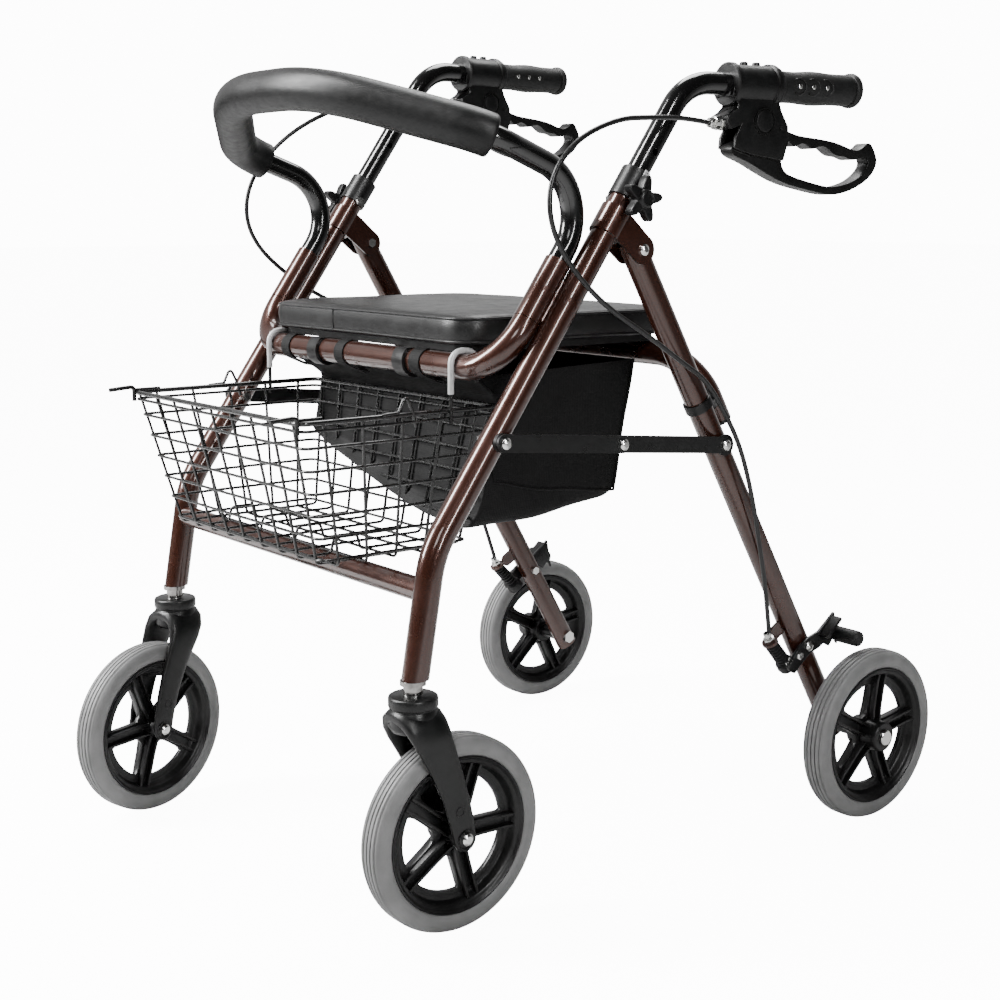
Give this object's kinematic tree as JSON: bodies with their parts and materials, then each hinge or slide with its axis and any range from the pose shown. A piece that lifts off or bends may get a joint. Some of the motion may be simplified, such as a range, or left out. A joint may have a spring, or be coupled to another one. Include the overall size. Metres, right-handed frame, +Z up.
{
  "type": "rollator walker",
  "caption": "Four-wheeled folding walking frame with flip-up padded seat, padded back bar, height-adjustable brake handles, wire basket and bag.",
  "frame": {"origin": "on the floor, under the middle of the walker's overall box", "axes": "+Z up; the front of the walker faces -Y and the user stands at +Y; +X is the side called right in the node names, which is on the left hand of the user"},
  "size_m": [0.6324, 0.8074, 0.8524],
  "materials": {
    "frame_paint": "glossy metallic bronze-brown powder coat",
    "black_tube": "gloss black paint",
    "zinc_steel": "bright zinc-plated steel",
    "black_plastic": "satin moulded black plastic",
    "wheel_plastic": "satin black moulded nylon",
    "grey_tyre": "mid-grey solid polyurethane",
    "foam": "charcoal closed-cell foam sleeve",
    "vinyl": "black grained vinyl, soft sheen",
    "nylon": "black woven nylon",
    "black_wire": "black plastic-coated steel wire",
    "link_paint": "semi-gloss black painted steel",
    "rubber": "matt black moulded rubber",
    "cable": "black cable housing"
  },
  "bodies": {
    "front_frame": {"front_leg_right": "frame_paint", "front_leg_left": "frame_paint", "crossbar": "frame_paint", "seat_rail_front": "frame_paint", "back_bar_sockets": "frame_paint", "leg_collars": "black_plastic", "fold_brackets": "frame_paint", "frame_bolts": "zinc_steel", "link_spacers": "black_plastic", "caster_bearings": "zinc_steel", "back_bar": "black_tube", "back_pad": "foam", "under_seat_bag": "nylon", "basket": "black_wire", "basket_wires": "black_wire"},
    "rear_frame": {"rear_leg_right": "frame_paint", "rear_leg_left": "frame_paint", "seat_rail_rear": "frame_paint", "rail_end_caps": "black_plastic", "rail_saddles": "black_plastic", "rear_bolts": "zinc_steel", "axle_spacers": "black_plastic", "brake_brackets": "frame_paint", "brake_boots": "rubber", "cable_lower_right": "cable", "cable_lower_left": "cable"},
    "seat": {"seat_board": "black_plastic", "seat_cushion": "vinyl", "seat_clips": "black_plastic"},
    "link_front_right": {"link_front_right": "link_paint"},
    "link_rear_right": {"link_rear_right": "link_paint"},
    "handle_right": {"handle_tube_right": "black_tube", "grip_right": "rubber", "brake_housing_right": "black_plastic", "cable_upper_right": "cable"},
    "lever_right": {"brake_lever_right": "black_plastic"},
    "brake_right": {"brake_arm_right": "link_paint"},
    "knob_right": {"clamp_knob_right": "black_plastic"},
    "rear_wheel_right": {"rear_tyre_right": "grey_tyre", "rear_rim_right": "wheel_plastic"},
    "caster_right": {"caster_fork_right": "wheel_plastic", "caster_bolts_right": "zinc_steel"},
    "front_wheel_right": {"front_tyre_right": "grey_tyre", "front_rim_right": "wheel_plastic"},
    "link_front_left": {"link_front_left": "link_paint"},
    "link_rear_left": {"link_rear_left": "link_paint"},
    "handle_left": {"handle_tube_left": "black_tube", "grip_left": "rubber", "brake_housing_left": "black_plastic", "cable_upper_left": "cable"},
    "lever_left": {"brake_lever_left": "black_plastic"},
    "brake_left": {"brake_arm_left": "link_paint"},
    "knob_left": {"clamp_knob_left": "black_plastic"},
    "rear_wheel_left": {"rear_tyre_left": "grey_tyre", "rear_rim_left": "wheel_plastic"},
    "caster_left": {"caster_fork_left": "wheel_plastic", "caster_bolts_left": "zinc_steel"},
    "front_wheel_left": {"front_tyre_left": "grey_tyre", "front_rim_left": "wheel_plastic"}
  },
  "joints": [
    {"name": "fold", "type": "hinge", "parent": "front_frame", "child": "rear_frame", "pos_m": [0, -0.00628, 0.6295], "axis": [-1, 0, 0], "range_deg": [0, 33], "deforming": ["under_seat_bag", "cable_lower_right", "cable_lower_left"]},
    {"name": "link_front_right_turn", "type": "hinge", "parent": "front_frame", "child": "link_front_right", "pos_m": [0.253, -0.17866, 0.459], "axis": [1, 0, 0], "range_deg": [0, 38.9]},
    {"name": "link_rear_right_turn", "type": "hinge", "parent": "rear_frame", "child": "link_rear_right", "pos_m": [0.2495, 0.11046, 0.4314], "axis": [-1, 0, 0], "range_deg": [0, 35.07]},
    {"name": "link_front_left_turn", "type": "hinge", "parent": "front_frame", "child": "link_front_left", "pos_m": [-0.253, -0.17866, 0.459], "axis": [1, 0, 0], "range_deg": [0, 38.9]},
    {"name": "link_rear_left_turn", "type": "hinge", "parent": "rear_frame", "child": "link_rear_left", "pos_m": [-0.2495, 0.11046, 0.4314], "axis": [-1, 0, 0], "range_deg": [0, 35.07]},
    {"name": "seat_flip", "type": "hinge", "parent": "front_frame", "child": "seat", "pos_m": [0, -0.1612, 0.521], "axis": [1, 0, 0], "range_deg": [0, 75]},
    {"name": "handle_right_height", "type": "slide", "parent": "front_frame", "child": "handle_right", "axis": [0, 0.5835, 0.8121], "range_m": [-0.027, 0.108], "deforming": ["cable_upper_right"]},
    {"name": "lever_right_squeeze", "type": "hinge", "parent": "handle_right", "child": "lever_right", "pos_m": [0.24343, 0.14933, 0.754], "axis": [0.9957, -0.0924, 0], "range_deg": [0, 15], "stiffness_Nm_per_rad": 0.4, "springref_deg": -20.05},
    {"name": "brake_right_press", "type": "hinge", "parent": "rear_frame", "child": "brake_right", "pos_m": [0.249, 0.24919, 0.196], "axis": [-1, 0, 0], "range_deg": [0, 2.5]},
    {"name": "knob_right_turn", "type": "hinge", "parent": "front_frame", "child": "knob_right", "pos_m": [0.258, -0.02201, 0.677], "axis": [1, 0, 0], "continuous": true},
    {"name": "rear_wheel_right_spin", "type": "hinge", "parent": "rear_frame", "child": "rear_wheel_right", "pos_m": [0.289, 0.30872, 0.095], "axis": [1, 0, 0], "continuous": true},
    {"name": "caster_right_swivel", "type": "hinge", "parent": "front_frame", "child": "caster_right", "pos_m": [0.235, -0.26928, 0.236], "axis": [0, 0, 1], "continuous": true},
    {"name": "caster_right_spin", "type": "hinge", "parent": "caster_right", "child": "front_wheel_right", "pos_m": [0.235, -0.22728, 0.095], "axis": [1, 0, 0], "continuous": true},
    {"name": "handle_left_height", "type": "slide", "parent": "front_frame", "child": "handle_left", "axis": [0, 0.5835, 0.8121], "range_m": [-0.081, 0.054], "deforming": ["cable_upper_left"]},
    {"name": "lever_left_squeeze", "type": "hinge", "parent": "handle_left", "child": "lever_left", "pos_m": [-0.24343, 0.18084, 0.79785], "axis": [0.9957, 0.0924, 0], "range_deg": [0, 15], "stiffness_Nm_per_rad": 0.4, "springref_deg": -20.05},
    {"name": "brake_left_press", "type": "hinge", "parent": "rear_frame", "child": "brake_left", "pos_m": [-0.249, 0.24919, 0.196], "axis": [-1, 0, 0], "range_deg": [0, 2.5]},
    {"name": "knob_left_turn", "type": "hinge", "parent": "front_frame", "child": "knob_left", "pos_m": [-0.258, -0.02201, 0.677], "axis": [1, 0, 0], "continuous": true},
    {"name": "rear_wheel_left_spin", "type": "hinge", "parent": "rear_frame", "child": "rear_wheel_left", "pos_m": [-0.289, 0.30872, 0.095], "axis": [1, 0, 0], "continuous": true},
    {"name": "caster_left_swivel", "type": "hinge", "parent": "front_frame", "child": "caster_left", "pos_m": [-0.235, -0.26928, 0.236], "axis": [0, 0, 1], "continuous": true},
    {"name": "caster_left_spin", "type": "hinge", "parent": "caster_left", "child": "front_wheel_left", "pos_m": [-0.22484, -0.31004, 0.095], "axis": [-0.9703, -0.2419, 0], "continuous": true}
  ],
  "couplings": [
    {"joint": "link_front_right_turn", "follows": "fold", "ratio": 1.1785},
    {"joint": "link_rear_right_turn", "follows": "fold", "ratio": 1.0624},
    {"joint": "link_front_left_turn", "follows": "fold", "ratio": 1.1785},
    {"joint": "link_rear_left_turn", "follows": "fold", "ratio": 1.0624},
    {"joint": "brake_right_press", "follows": "lever_right_squeeze", "ratio": 0.16667},
    {"joint": "brake_left_press", "follows": "lever_left_squeeze", "ratio": 0.16667}
  ]
}
